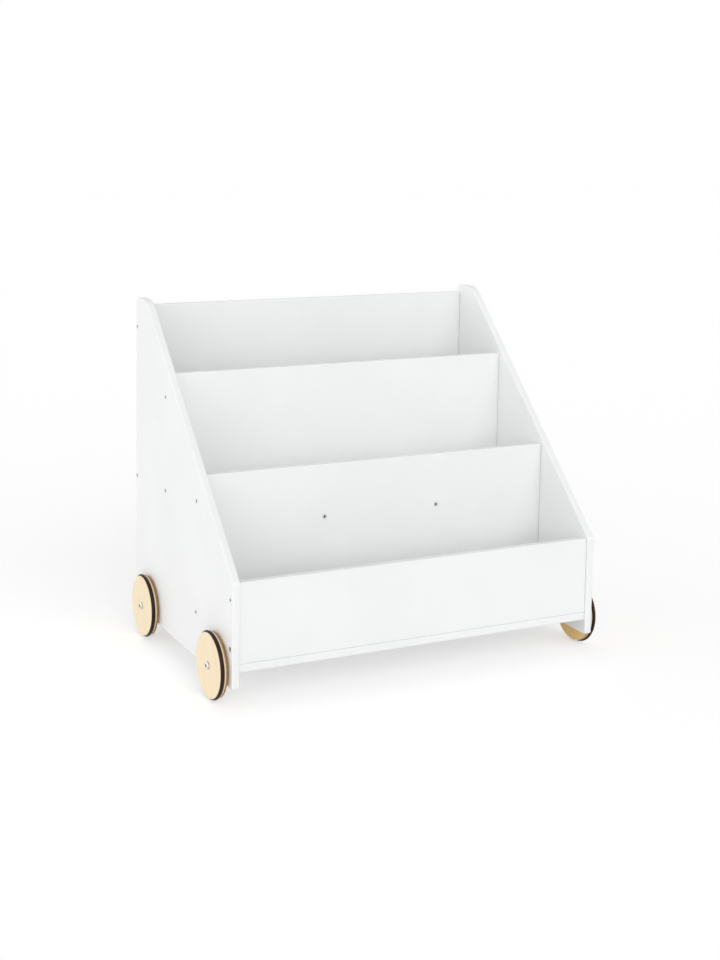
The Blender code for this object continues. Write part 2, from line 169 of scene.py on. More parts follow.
def noise(tree, vector, scale, detail=2.0, roughness=0.5):
    node = addNode(tree, "ShaderNodeTexNoise", Vector=vector, Scale=scale, Detail=detail,
                   Roughness=roughness)
    return node.outputs["Fac"]


# effects shared by the materials
def makeSprayGroup():
    # a sprayed film: a soft ripple and a finer one make the height, slow clouds make the mask
    tree, start, end = newGroup(
        "sprayedFilm",
        [("Vector", "Vector", None), ("Ripple Size", "Float", 0.003), ("Fine Share", "Float", 0.3)],
        [("Height", "Float"), ("Cloud", "Float")])
    scale = maths(tree, "DIVIDE", 1.0, start.outputs["Ripple Size"])
    ripple = noise(tree, start.outputs["Vector"], scale, 1.0)
    fine = noise(tree, start.outputs["Vector"], maths(tree, "MULTIPLY", scale, 4.3), 2.0)
    weighted = maths(tree, "MULTIPLY", fine, start.outputs["Fine Share"])
    tree.links.new(maths(tree, "ADD", ripple, weighted), end.inputs["Height"])
    cloud = noise(tree, start.outputs["Vector"], 5.0, 3.0, 0.6)
    tree.links.new(remap(tree, cloud, 0.35, 0.65, 0.0, 1.0), end.inputs["Cloud"])
    return tree


def makeDustGroup():
    # grains of dust: fine noise cut near its top, thinned by slow clouds
    tree, start, end = newGroup(
        "fineDust",
        [("Vector", "Vector", None), ("Grain Size", "Float", 0.0008), ("Amount", "Float", 0.2)],
        [("Mask", "Float")])
    scale = maths(tree, "DIVIDE", 1.0, start.outputs["Grain Size"])
    grains = noise(tree, start.outputs["Vector"], scale, 3.0, 0.7)
    clouds = noise(tree, start.outputs["Vector"], maths(tree, "MULTIPLY", scale, 0.05), 2.0)
    shaped = maths(tree, "MULTIPLY", remap(tree, grains, 0.45, 0.75, 0.0, 1.0),
                   remap(tree, clouds, 0.35, 0.7, 0.2, 1.0))
    tree.links.new(maths(tree, "MULTIPLY", shaped, start.outputs["Amount"]), end.inputs["Mask"])
    return tree


def makeGrainGroup():
    # straight grain along Y: noise stretched along the fibres, warped by a slow figure, with fine pores
    tree, start, end = newGroup(
        "woodGrain",
        [("Vector", "Vector", None), ("Fibre Width", "Float", 0.0012), ("Stretch", "Float", 0.04),
         ("Figure", "Float", 0.004)],
        [("Fibre", "Float"), ("Bands", "Float"), ("Pores", "Float")])
    vector = start.outputs["Vector"]
    slow = addNode(tree, "ShaderNodeTexNoise", Vector=vector, Scale=14.0, Detail=2.0)
    centred = vectorMaths(tree, "SUBTRACT", slow.outputs["Color"], (0.5, 0.5, 0.5))
    bend = maths(tree, "MULTIPLY", start.outputs["Figure"], 6.0)
    moved = vectorMaths(tree, "ADD", vector, vectorMaths(tree, "SCALE", centred, bend))
    squeeze = addNode(tree, "ShaderNodeCombineXYZ", X=1.0, Y=start.outputs["Stretch"], Z=1.0)
    drawn = vectorMaths(tree, "MULTIPLY", moved, squeeze.outputs[0])
    fine = maths(tree, "DIVIDE", 1.0, start.outputs["Fibre Width"])
    broad = maths(tree, "MULTIPLY", fine, 0.13)
    tree.links.new(noise(tree, drawn, fine, 4.0, 0.62), end.inputs["Fibre"])
    tree.links.new(noise(tree, drawn, broad, 3.0, 0.55), end.inputs["Bands"])
    pores = noise(tree, drawn, maths(tree, "MULTIPLY", fine, 2.6), 1.0)
    tree.links.new(remap(tree, pores, 0.62, 0.78, 0.0, 1.0), end.inputs["Pores"])
    return tree


sprayGroup = makeSprayGroup()
dustGroup = makeDustGroup()
grainGroup = makeGrainGroup()


def newMaterial(name):
    # a material with one Principled shader; gives the tree, the shader and the material
    material = bpy.data.materials.new(name)
    material.use_nodes = True
    tree = material.node_tree
    return tree, tree.nodes["Principled BSDF"], material


def objectSpace(tree):
    return tree.nodes.new("ShaderNodeTexCoord").outputs["Object"]


def attribute(tree, name, output="Fac"):
    node = tree.nodes.new("ShaderNodeAttribute")
    node.attribute_name = name
    return node.outputs[output]


def bumpInto(tree, shader, height, distance):
    node = addNode(tree, "ShaderNodeBump", Height=height, Distance=distance, Strength=1.0)
    tree.links.new(node.outputs[0], shader.inputs["Normal"])


# white lacquer. The attribute rim is 1 on the sawn edges.
lacquer = {
    "bright": (0.905, 0.912, 0.912),
    "dull": (0.882, 0.888, 0.888),
    "ripple": 0.0034,           # size of the spray's ripple, m
    "fineShare": 0.22,
    "rippleHeight": 0.000010,
    "satin": (0.30, 0.37),      # roughness between the clouds
    "rimRough": 0.10,           # sawn edges drink the lacquer and stay duller
    "rimFibre": 1.4,            # how much the board's fibre shows through on them
    "fibreScale": 900.0,
    "dust": (0.78, 0.77, 0.75),
    "dustGrain": 0.0016,
    "dustAmount": 0.05,
}


def makeLacquer(values):
    tree, shader, material = newMaterial("whiteLacquer")
    space = objectSpace(tree)
    film = useGroup(tree, sprayGroup, Vector=space, Ripple_Size=values["ripple"],
                    Fine_Share=values["fineShare"])
    cloud = film.outputs["Cloud"]
    rim = attribute(tree, "rim")
    dust = useGroup(tree, dustGroup, Vector=space, Grain_Size=values["dustGrain"],
                    Amount=values["dustAmount"])
    colour = mixColour(tree, cloud, values["dull"], values["bright"])
    colour = mixColour(tree, dust.outputs["Mask"], colour, values["dust"])
    tree.links.new(colour, shader.inputs["Base Color"])
    satin = remap(tree, cloud, 0.0, 1.0, values["satin"][1], values["satin"][0])
    rough = maths(tree, "ADD", satin, maths(tree, "MULTIPLY", rim, values["rimRough"]))
    tree.links.new(rough, shader.inputs["Roughness"])
    fibre = noise(tree, space, values["fibreScale"], 2.0)
    raised = maths(tree, "MULTIPLY", maths(tree, "MULTIPLY", fibre, rim), values["rimFibre"])
    bumpInto(tree, shader, maths(tree, "ADD", film.outputs["Height"], raised), values["rippleHeight"])
    return material


# plywood of the wheels. The attribute woodSpace has the depth under the outer face in X and the
# grain along Y, turned by itself on each wheel; cutFace is 1 on the turned rim and in the groove.
plywood = {
    "thickness": 0.012,
    "plies": 5,
    "face": ((0.948, 0.792, 0.540), (0.915, 0.740, 0.475)),
    # the inner face is the same birch as the outer one; its deeper, warmer tan is painted shade and warm
    # bounced light of the side that faces the panel
    "inner": ((0.950, 0.660, 0.270), (0.900, 0.590, 0.215)),
    # tones of the plies from the outer face in; the last one's dark brown is partly a darker ply and partly
    # painted shade of the gap between wheel and panel
    "layers": ((0.900, 0.760, 0.520), (0.560, 0.350, 0.165), (0.840, 0.680, 0.430), (0.900, 0.710, 0.430),
               (0.290, 0.145, 0.060)),
    "pore": (0.50, 0.33, 0.17),
    "endGrain": (0.42, 0.25, 0.11),
    "endGrainScale": 1500.0,
    "glue": (0.180, 0.085, 0.035),
    "glueLine": 0.00016,
    "skin": (0.0006, 0.0012),   # depths under each face between which the glue lines fade in
    "fibreWidth": 0.0016,
    "stretch": 0.045,           # size across the fibres to size along them
    "figure": 0.0022,           # how far the grain wanders
    "satin": 0.36,
    "grainHeight": 0.00003,
}


def plyEdge(tree, values, space, depth):
    # the cut edge: one tone for each ply, the last darkened partly as painted shade of the gap beside the
    # panel, end grain across, and a dark glue line between two plies
    thickness = values["thickness"]
    ply = thickness / values["plies"]
    share = maths(tree, "DIVIDE", depth, thickness)
    ramp = tree.nodes.new("ShaderNodeValToRGB")
    ramp.color_ramp.interpolation = "CONSTANT"
    points = ramp.color_ramp.elements
    for index, shade in enumerate(values["layers"]):
        point = points[index] if index < 2 else points.new(0.99)
        point.position = index / values["plies"]
        point.color = (*shade, 1.0)
    tree.links.new(share, ramp.inputs[0])
    across = remap(tree, noise(tree, space, values["endGrainScale"], 3.0, 0.65), 0.4, 0.75, 0.0, 0.45)
    wood = mixColour(tree, across, ramp.outputs[0], values["endGrain"])
    part = maths(tree, "FRACT", maths(tree, "MULTIPLY", share, float(values["plies"])))
    inPly = maths(tree, "MULTIPLY", part, ply)
    toLine = maths(tree, "MINIMUM", inPly, maths(tree, "SUBTRACT", ply, inPly))
    line = remap(tree, toLine, values["glueLine"] * 0.6, values["glueLine"] * 1.4, 1.0, 0.0)
    near, far = values["skin"]
    under = remap(tree, depth, near, far, 0.0, 1.0)
    above = remap(tree, depth, thickness - far, thickness - near, 1.0, 0.0)
    line = maths(tree, "MULTIPLY", line, maths(tree, "MULTIPLY", under, above))
    return mixColour(tree, maths(tree, "MULTIPLY", line, 0.85), wood, values["glue"])


def makePlywood(values):
    tree, shader, material = newMaterial("birchPlywood")
    space = attribute(tree, "woodSpace", "Vector")
    cutFace = attribute(tree, "cutFace")
    depth = addNode(tree, "ShaderNodeSeparateXYZ", n0=space).outputs["X"]
    grain = useGroup(tree, grainGroup, Vector=space, Fibre_Width=values["fibreWidth"],
                     Stretch=values["stretch"], Figure=values["figure"])
    pores = grain.outputs["Pores"]
    bands = remap(tree, grain.outputs["Bands"], 0.36, 0.66, 0.0, 1.0)
    fibre = remap(tree, grain.outputs["Fibre"], 0.3, 0.7, 0.0, 1.0)
    tone = maths(tree, "ADD", maths(tree, "MULTIPLY", bands, 0.62), maths(tree, "MULTIPLY", fibre, 0.38))
    outer = mixColour(tree, tone, *values["face"])
    # the inner face's deeper tan is painted warm shade
    inner = mixColour(tree, tone, *values["inner"])
    side = remap(tree, depth, values["thickness"] * 0.45, values["thickness"] * 0.55, 0.0, 1.0)
    face = mixColour(tree, side, outer, inner)
    face = mixColour(tree, maths(tree, "MULTIPLY", pores, 0.22), face, values["pore"])
    cut = plyEdge(tree, values, space, depth)
    tree.links.new(mixColour(tree, cutFace, face, cut), shader.inputs["Base Color"])
    rough = maths(tree, "ADD", maths(tree, "MULTIPLY", tone, 0.10), maths(tree, "MULTIPLY", cutFace, 0.18))
    tree.links.new(maths(tree, "ADD", rough, values["satin"]), shader.inputs["Roughness"])
    shader.inputs["Coat Weight"].default_value = 0.15
    shader.inputs["Coat Roughness"].default_value = 0.25
    height = maths(tree, "SUBTRACT", maths(tree, "MULTIPLY", fibre, 0.5), pores)
    bumpInto(tree, shader, height, values["grainHeight"])
    return material


# rubber of the rings. The attribute tread is 1 where a ring rolls.
rubber = {
    "dark": (0.015, 0.006, 0.004),
    "worn": (0.025, 0.011, 0.008),
    "dusty": (0.10, 0.06, 0.045),
    "cloudScale": 90.0,
    "dustGrain": 0.0005,
    "dustAmount": 0.16,
    "satin": (0.32, 0.42),
    "gloss": 0.18,
    "gritScale": 2600.0,
    "gritHeight": 0.00002,
}


def makeRubber(values):
    tree, shader, material = newMaterial("darkRubber")
    space = objectSpace(tree)
    clouds = remap(tree, noise(tree, space, values["cloudScale"], 3.0), 0.35, 0.65, 0.0, 1.0)
    colour = mixColour(tree, clouds, values["dark"], values["worn"])
    dust = useGroup(tree, dustGroup, Vector=space, Grain_Size=values["dustGrain"],
                    Amount=values["dustAmount"])
    tread = attribute(tree, "tread")
    amount = maths(tree, "MULTIPLY", dust.outputs["Mask"], maths(tree, "ADD", 0.35, tread))
    tree.links.new(mixColour(tree, amount, colour, values["dusty"]), shader.inputs["Base Color"])
    rough = remap(tree, clouds, 0.0, 1.0, *values["satin"])
    rough = maths(tree, "ADD", rough, maths(tree, "MULTIPLY", amount, 0.5))
    tree.links.new(rough, shader.inputs["Roughness"])
    shader.inputs["Specular IOR Level"].default_value = values["gloss"]
    bumpInto(tree, shader, noise(tree, space, values["gritScale"], 2.0), values["gritHeight"])
    return material


# zinc plated steel of the screws and bolts. The attribute recess is 1 inside a socket, which is coloured
# near black
# and less metallic: thin plating there, and painted shade of the recess.
zinc = {
    "bright": (0.76, 0.76, 0.77),
    "dull": (0.60, 0.61, 0.62),
    # near black inside sockets: thin plating and painted shade of the recess
    "socket": (0.025, 0.024, 0.023),
    "rough": (0.26, 0.40),
    "ripple": 0.0011,
    "rippleHeight": 0.000012,
    "spotScale": 420.0,
}


def makeZinc(values):
    tree, shader, material = newMaterial("zincSteel")
    space = objectSpace(tree)
    film = useGroup(tree, sprayGroup, Vector=space, Ripple_Size=values["ripple"], Fine_Share=0.6)
    spots = remap(tree, noise(tree, space, values["spotScale"], 3.0, 0.6), 0.38, 0.66, 0.0, 1.0)
    recess = attribute(tree, "recess")
    plated = mixColour(tree, spots, values["bright"], values["dull"])
    # the socket's near-black colour and lower metal paint the recess's shade over thin plating
    tree.links.new(mixColour(tree, recess, plated, values["socket"]), shader.inputs["Base Color"])
    tree.links.new(remap(tree, spots, 0.0, 1.0, *values["rough"]), shader.inputs["Roughness"])
    metal = maths(tree, "SUBTRACT", 1.0, maths(tree, "MULTIPLY", recess, 0.8))
    tree.links.new(metal, shader.inputs["Metallic"])
    bumpInto(tree, shader, film.outputs["Height"], values["rippleHeight"])
    return material


# nylon of the washers
nylon = {
    "pale": (0.80, 0.79, 0.75),
    "deep": (0.70, 0.69, 0.65),
    "satin": (0.42, 0.52),
    "ripple": 0.0016,
    "rippleHeight": 0.000015,
    "cloudScale": 240.0,
}


def makeNylon(values):
    tree, shader, material = newMaterial("naturalNylon")
    space = objectSpace(tree)
    film = useGroup(tree, sprayGroup, Vector=space, Ripple_Size=values["ripple"], Fine_Share=0.8)
    clouds = remap(tree, noise(tree, space, values["cloudScale"], 2.0), 0.35, 0.65, 0.0, 1.0)
    tree.links.new(mixColour(tree, clouds, values["pale"], values["deep"]), shader.inputs["Base Color"])
    tree.links.new(remap(tree, clouds, 0.0, 1.0, *values["satin"]), shader.inputs["Roughness"])
    shader.inputs["Subsurface Weight"].default_value = 0.08
    shader.inputs["Subsurface Radius"].default_value = (0.002, 0.002, 0.0018)
    bumpInto(tree, shader, film.outputs["Height"], values["rippleHeight"])
    return material


looks = {
    "white_lacquer": makeLacquer(lacquer),
    "birch_plywood": makePlywood(plywood),
    "dark_rubber": makeRubber(rubber),
    "zinc_steel": makeZinc(zinc),
    "natural_nylon": makeNylon(nylon),
}
print("materials made:", ", ".join(material.name for material in looks.values()))


# surfaces. A shell gathers points, faces and marks until it becomes one mesh.
surface = {
    "leastRadius": 0.00008,     # of a rounded corner, so that its points stay apart
    "perMetre": 1000,           # flat faces are cut into triangles in millimetres
    "tolerance": 0.000001,
    "holeShare": 0.97,          # a triangle whose middle is within this share of a ring's radius goes
}


def newShell():
    return {"points": [], "faces": [], "marks": [], "count": 0}


def addPoints(shell, points, mark=0.0):
    # files an array of points and gives their numbers in the same arrangement
    flat = points.reshape(-1, 3)
    numbers = shell["count"] + np.arange(len(flat)).reshape(points.shape[:-1])
    shell["points"].append(flat)
    shell["marks"].append(np.broadcast_to(mark, points.shape[:-1]).reshape(-1).astype(float))
    shell["count"] += len(flat)
    return numbers


def addRows(shell, rows, keep=None, closed=False):
    # quads between each row of point numbers and the next, with columns that close on themselves
    if closed:
        rows = np.concatenate([rows, rows[:1]])
    ahead = np.roll(rows, -1, axis=1)
    quads = np.stack([rows[:-1], ahead[:-1], ahead[1:], rows[1:]], axis=-1)
    quads = quads.reshape(-1, 4) if keep is None else quads[keep]
    shell["faces"] += quads.tolist()


def addFan(shell, ring, centre, mark=0.0):
    # triangles from a ring of point numbers to one point
    tip = addPoints(shell, np.asarray(centre, float)[None], mark)
    fan = np.stack([ring, np.roll(ring, -1), np.broadcast_to(tip, ring.shape)], axis=-1)
    shell["faces"] += fan.tolist()


def addFlat(shell, loop, rings, drop):
    # a flat face with round holes: Delaunay triangles over its outline and rings, less those in a ring
    numbers = np.concatenate([loop, *rings])
    points = np.concatenate(shell["points"])[numbers]
    flat = np.delete(points, drop, axis=1) * surface["perMetre"]
    ends = np.cumsum([0, len(loop), *map(len, rings)])
    edges = np.concatenate([np.stack([np.arange(a, b), np.roll(np.arange(a, b), -1)], axis=-1)
                            for a, b in zip(ends[:-1], ends[1:])])
    enclosed = 1    # the kind of result that keeps only what the edges enclose
    made = delaunay_2d_cdt([Vector(p) for p in flat], edges.tolist(), [], enclosed, surface["tolerance"])
    source = np.array([origin[0] for origin in made[3]])
    triangles = source[np.array(made[2])]
    middles = flat[triangles].mean(axis=1)
    keep = np.ones(len(triangles), bool)
    for a, b in zip(ends[1:-1], ends[2:]):
        centre = flat[a:b].mean(axis=0)
        radius = np.linalg.norm(flat[a] - centre)
        keep &= np.linalg.norm(middles - centre, axis=1) > radius * surface["holeShare"]
    shell["faces"] += numbers[triangles[keep]].tolist()


def roundedOutline(corners, inset, arcSteps, guard):
    # each corner (x, y, radius) becomes an arc tangent to both edges, moved inwards by inset, with one
    # more point on each straight edge beside it; corners run anticlockwise and may turn either way
    corners = np.asarray(corners, float)
    spot = corners[:, :2]
    before = np.roll(spot, 1, axis=0) - spot
    after = np.roll(spot, -1, axis=0) - spot
    before /= np.linalg.norm(before, axis=1, keepdims=True)
    after /= np.linalg.norm(after, axis=1, keepdims=True)
    side = np.sign(before[:, 1] * after[:, 0] - before[:, 0] * after[:, 1])[:, None]
    half = np.arccos(np.clip((before * after).sum(axis=1), -1, 1))[:, None] / 2
    bisector = before + after
    bisector /= np.linalg.norm(bisector, axis=1, keepdims=True)
    radius = np.maximum(corners[:, 2:] - inset * side, surface["leastRadius"])
    spot = spot + bisector * side * inset / np.sin(half)
    centre = spot + bisector * radius / np.sin(half)
    reach = radius / np.tan(half)
    start = spot + before * reach - centre
    angle = side * (math.pi - 2 * half) * np.linspace(0, 1, arcSteps + 1)
    cos, sin = np.cos(angle), np.sin(angle)
    arc = np.stack([centre[:, :1] + start[:, :1] * cos - start[:, 1:] * sin,
                    centre[:, 1:] + start[:, :1] * sin + start[:, 1:] * cos], axis=-1)
    first = (spot + before * (reach + guard))[:, None]
    last = (spot + after * (reach + guard))[:, None]
    return np.concatenate([first, arc, last], axis=1).reshape(-1, 2)


def camelName(node):
    words = node.split("_")
    return words[0] + "".join(word.capitalize() for word in words[1:])


def makePiece(node, shell, slot, mark=None, vectors=None, sharp=32.0):
    # turns a shell into the piece that stands for a CAD node, facing outwards and riding on its body;
    # mark names the attribute for the shell's marks, and vectors holds attributes of one vector a point
    name = camelName(node)
    mesh = bpy.data.meshes.new(name)
    mesh.from_pydata(np.concatenate(shell["points"]).tolist(), [], shell["faces"])
    work = bmesh.new()
    work.from_mesh(mesh)
    bmesh.ops.recalc_face_normals(work, faces=work.faces)
    work.to_mesh(mesh)
    work.free()
    if mark:
        layer = mesh.attributes.new(mark, "FLOAT", "POINT")
        layer.data.foreach_set("value", np.concatenate(shell["marks"]))
    for label, values in (vectors or {}).items():
        layer = mesh.attributes.new(label, "FLOAT_VECTOR", "POINT")
        layer.data.foreach_set("vector", values.reshape(-1))
    mesh.materials.append(looks[slot])
    mesh.shade_smooth()
    mesh.set_sharp_from_angle(angle=math.radians(sharp))
    piece = bpy.data.objects.new(name, mesh)
    scene.collection.objects.link(piece)
    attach(piece, frame["nodes"][node]["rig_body"])
    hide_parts(node)


def nodeBox(node):
    low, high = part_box(node)
    return np.array(low), np.array(high)


# screws: where each one sits, read from its CAD box
screwAims = {
    "panel_screw_left": (1, 0, 0), "panel_screw_right": (-1, 0, 0), "base_screw": (0, 0, 1),
    "shelf_screw_front": (0, 1, 0), "shelf_screw_rear": (0, -1, 0),
}


def screwPlaces():
    # the middle of each screw's head and the way it points
    places = {}
    for node in sorted(frame["nodes"]):
        for start, aim in screwAims.items():
            if node.startswith(start):
                low, high = nodeBox(node)
                aim = np.array(aim, float)
                reach = (high - low) @ np.abs(aim) / 2
                places[node] = ((low + high) / 2 - aim * reach, aim)
    return places


screws = screwPlaces()


# boards with rounded edges and bored holes. A bore is a row of rings, each a radius and a depth.
board = {
    "edge": 0.0010,             # rounding of the edges
    "corner": 0.0012,
    "arcSteps": 4,
    "edgeSteps": 4,
    "guard": 0.0004,            # flat strip that keeps the shading of the faces even
    "holeSides": 32,
    "holeTip": 0.0012,          # depth of the point that ends a blind bore
    "holeRim": 0.6,             # how much of the sawn edges' finish a bore's wall has
    "sawnShare": 0.6,           # share of the rounding, from the edge inwards, that counts as sawn
    "headHole": ((0.00405, 0.0), (0.00400, 0.0005), (0.0025, 0.0027)),
    "pilot": ((0.0025, 0.0), (0.0025, 0.0315)),
    "axleBore": ((0.0053, 0.0), (0.0053, 0.0106), (0.0033, 0.0106)),    # from the panel's inner face
}
panel = {
    "slantFoot": 0.1565, "topDepth": 0.0495,
    "radii": (0.003, 0.003, 0.012, 0.040, 0.008),   # foot front, foot rear, rear top, slant top, slant foot
    "edge": 0.0015, "arcSteps": 10,
}


def addHole(shell, mouth, inward, profile, through):
    # the rings of a bore; it goes on to a last ring at the depth through, or ends in a tip without one
    first = np.roll(np.abs(inward), 1)
    second = np.cross(inward, first)
    turn = np.linspace(0, 2 * math.pi, board["holeSides"], endpoint=False)[:, None]
    around = np.cos(turn) * first + np.sin(turn) * second
    steps = np.array([*profile, (profile[-1][0], through)] if through else profile)
    radius, depth = steps[:, 0, None, None], steps[:, 1, None, None]
    rows = addPoints(shell, mouth + radius * around + depth * inward, board["holeRim"])
    addRows(shell, rows)
    if not through:
        addFan(shell, rows[-1], mouth + (profile[-1][1] + board["holeTip"]) * inward, board["holeRim"])
    return rows[0], rows[-1]


def makeBoard(node, corners, axes, edge, arcSteps, holes):
    # a plate: the outline (u, v) is carried round a profile that rounds both edges, w runs through the
    # thickness, and the two faces and bored edges are flat faces with holes. axes gives the world
    # axis of u, v and w.
    low, high = nodeBox(node)
    wAxis = axes[2]
    thickness = high[wAxis] - low[wAxis]
    guard = board["guard"]
    turn = np.linspace(0, math.pi / 2, board["edgeSteps"] + 1)
    insets = np.concatenate([[edge + guard], edge * (1 - np.sin(turn)), [0, 0],
                             edge * (1 - np.cos(turn)), [edge + guard]])
    levels = np.concatenate([[0], edge * (1 - np.cos(turn)), [edge + guard, thickness - edge - guard],
                             thickness - edge + edge * np.sin(turn), [thickness]])
    outlines = np.stack([roundedOutline(corners, inset, arcSteps, guard * 2) for inset in insets])
    points = np.zeros((*outlines.shape[:2], 3))
    points[..., axes[0]] = outlines[..., 0]
    points[..., axes[1]] = outlines[..., 1]
    points[..., wAxis] = low[wAxis] + levels[:, None]
    sawn = (insets < edge * board["sawnShare"]).astype(float)[:, None]
    shell = newShell()
    rows = addPoints(shell, points, sawn)
    corners = np.asarray(corners, float)
    edgeAim = np.roll(corners[:, :2], -1, axis=0) - corners[:, :2]
    edgeAim /= np.linalg.norm(edgeAim, axis=1, keepdims=True)
    inwards = np.zeros((len(corners), 3))
    inwards[:, axes[0]], inwards[:, axes[1]] = -edgeAim[:, 1], edgeAim[:, 0]
    faceRings, edgeRings = {0: [], 1: []}, {}
    for hole in holes:
        mouth, inward = np.array(hole["mouth"], float), np.array(hole["inward"], float)
        axis = int(np.argmax(np.abs(inward)))
        mouth[axis] = low[axis] if inward[axis] > 0 else high[axis]
        through = thickness if hole["through"] else None
        first, last = addHole(shell, mouth, inward, hole["profile"], through)
        if axis == wAxis:
            face = 0 if inward[wAxis] > 0 else 1
            faceRings[face].append(first)
            if through:
                faceRings[1 - face].append(last)
        else:
            segment = int(np.argmax(inwards @ inward))
            edgeRings.setdefault((segment, axis), []).append(first)
    # the straight strip of a bored edge gives way to a flat face with holes
    columns = arcSteps + 3
    band = board["edgeSteps"] + 2
    keep = np.ones((len(rows) - 1, rows.shape[1]), bool)
    for (segment, axis), rings in edgeRings.items():
        start = segment * columns + columns - 1
        end = (start + 1) % rows.shape[1]
        keep[band, start] = False
        loop = np.array([rows[band, start], rows[band, end], rows[band + 1, end], rows[band + 1, start]])
        addFlat(shell, loop, rings, axis)
    addRows(shell, rows, keep)
    addFlat(shell, rows[0], faceRings[0], wAxis)
    addFlat(shell, rows[-1], faceRings[1], wAxis)
    makePiece(node, shell, "white_lacquer", "rim")


def makePlainBoard(node, axes, holes):
    # a rectangular board that fills its CAD box
    low, high = nodeBox(node)
    u, v = axes[:2]
    corner = board["corner"]
    corners = [(low[u], low[v], corner), (high[u], low[v], corner),
               (high[u], high[v], corner), (low[u], high[v], corner)]
    makeBoard(node, corners, axes, board["edge"], board["arcSteps"], holes)


def bores(kind, start, part=""):
    # the holes for the screws of these names: headHole goes through and is countersunk, pilot is blind
    return [{"mouth": spot, "inward": aim, "profile": board[kind], "through": kind == "headHole"}
            for node, (spot, aim) in screws.items() if node.startswith(start) and part in node]


def axleEnds(corner):
    # the middle of a wheel disc, and the way in along its axle
    low, high = nodeBox("wheel_disc_" + corner)
    inward = np.array([1.0 if corner.endswith("left") else -1.0, 0, 0])
    return (low + high) / 2, inward


def makePanels():
    for word in ("left", "right"):
        node = word + "_side_panel"
        low, high = nodeBox(node)
        foot, rear, rearTop, slantTop, slantFoot = panel["radii"]
        corners = [(low[1], low[2], foot), (high[1], low[2], rear), (high[1], high[2], rearTop),
                   (high[1] - panel["topDepth"], high[2], slantTop),
                   (low[1], low[2] + panel["slantFoot"], slantFoot)]
        holes = bores("headHole", "panel_screw_" + word)
        for end in ("front_", "rear_"):
            middle, inward = axleEnds(end + word)
            holes.append({"mouth": middle, "inward": -inward, "profile": board["axleBore"], "through": True})
        makeBoard(node, corners, (1, 2, 0), panel["edge"], panel["arcSteps"], holes)


def makeUprights():
    # each takes a row of screws from both side panels, and some take others
    plans = {
        "front_board": ("_front_", bores("pilot", "base_screw_front")),
        "middle_divider": ("_middle_", bores("pilot", "base_screw_middle")
                           + bores("headHole", "shelf_screw_front")),
        "upper_divider": ("_upper_", []),
        "back_panel": ("_back_", bores("headHole", "shelf_screw_rear")),
    }
    for node, (row, others) in plans.items():
        makePlainBoard(node, (0, 2, 1), bores("pilot", "panel_screw", row) + others)


makePanels()
makeUprights()
makePlainBoard("bottom_board", (0, 1, 2), bores("headHole", "base_screw"))
makePlainBoard("shelf_floor", (0, 1, 2), bores("pilot", "shelf_screw"))
print("boards made")


# turned pieces
def spin(profile, columns, middle, mark=0.0):
    # the profile (radius, distance out from the case's middle) is turned about an axle along X; mark
    # has one value for each of its points. Gives the shell and its points.
    turn = np.linspace(0, 2 * math.pi, columns, endpoint=False)
    radius, out = profile[:, :1], profile[:, 1:]
    points = np.zeros((len(profile), columns, 3))
    points[..., 0] = np.sign(middle[0]) * out
    points[..., 1] = middle[1] + radius * np.cos(turn)
    points[..., 2] = middle[2] + radius * np.sin(turn)
    shell = newShell()
    addRows(shell, addPoints(shell, points, mark), closed=True)
    return shell, points.reshape(-1, 3)


def outwards(node):
    # where a piece on an axle starts and ends, as distances from the case's middle
    low, high = nodeBox(node)
    return np.sort(np.abs([low[0], high[0]]))


wheel = {
    "columns": 144,
    "bore": 0.0046,
    "lip": 0.0010,              # wood between the ring and the outer face
    "ringWidth": 0.0055,
    "ringDepth": 0.0027,
    "ringProud": 0.0025,
    "clearance": 0.0003,
    "faceRound": 0.0004,
    "lipRound": 0.00015,
    "cornerRound": 0.0003,
    "arcSteps": 4,
    "guard": 0.0001,            # flat strip beside each rounded corner
    "faceBand": 0.00012,        # points this near to a face have its look, the others a cut edge's
    "grainShift": 0.31,         # from one wheel's place in the grain to the next one's
    "grainTurns": {"front_left": 68.0, "rear_left": 102.0, "front_right": 20.0, "rear_right": -35.0},
}


def makeDisc(corner):
    # a plywood disc with a bore, and a square groove in its rim for the ring
    node = "wheel_disc_" + corner
    low, high = nodeBox(node)
    middle = (low + high) / 2
    inner, outer = outwards(node)
    bore, small = wheel["bore"], wheel["cornerRound"]
    radius = (high[2] - low[2]) / 2
    top = outer - wheel["lip"]
    end = top - wheel["ringWidth"] - 2 * wheel["clearance"]
    floor = radius - wheel["ringDepth"] - wheel["clearance"]
    corners = [(bore, inner, small), (radius, inner, wheel["faceRound"]), (radius, end, wheel["lipRound"]),
               (floor, end, small), (floor, top, small), (radius, top, wheel["lipRound"]),
               (radius, outer, wheel["faceRound"]), (bore, outer, small)]
    profile = roundedOutline(corners, 0.0, wheel["arcSteps"], wheel["guard"])
    toFace = np.minimum(np.abs(profile[:, 1:] - inner), np.abs(profile[:, 1:] - outer))
    shell, flat = spin(profile, wheel["columns"], middle, (toFace >= wheel["faceBand"]).astype(float))
    turn = math.radians(wheel["grainTurns"][corner])
    y, z = flat[:, 1] - middle[1], flat[:, 2] - middle[2]
    shift = wheel["grainShift"] * (1 + list(wheel["grainTurns"]).index(corner))
    woodSpace = np.stack([outer - np.abs(flat[:, 0]), y * math.cos(turn) + z * math.sin(turn) + shift,
                          z * math.cos(turn) - y * math.sin(turn) + shift], axis=-1)
    makePiece(node, shell, "birch_plywood", "cutFace", {"woodSpace": woodSpace})


tyre = {
    "crownSteps": 33,
    "seam": 0.00010,            # height of the seam round the crown
    "seamWidth": 0.05,          # in radians of the crown
    "seatRound": 0.0004,
    "seatSteps": 5,
    "treadBand": 0.0008,        # depth of the part that rolls
}


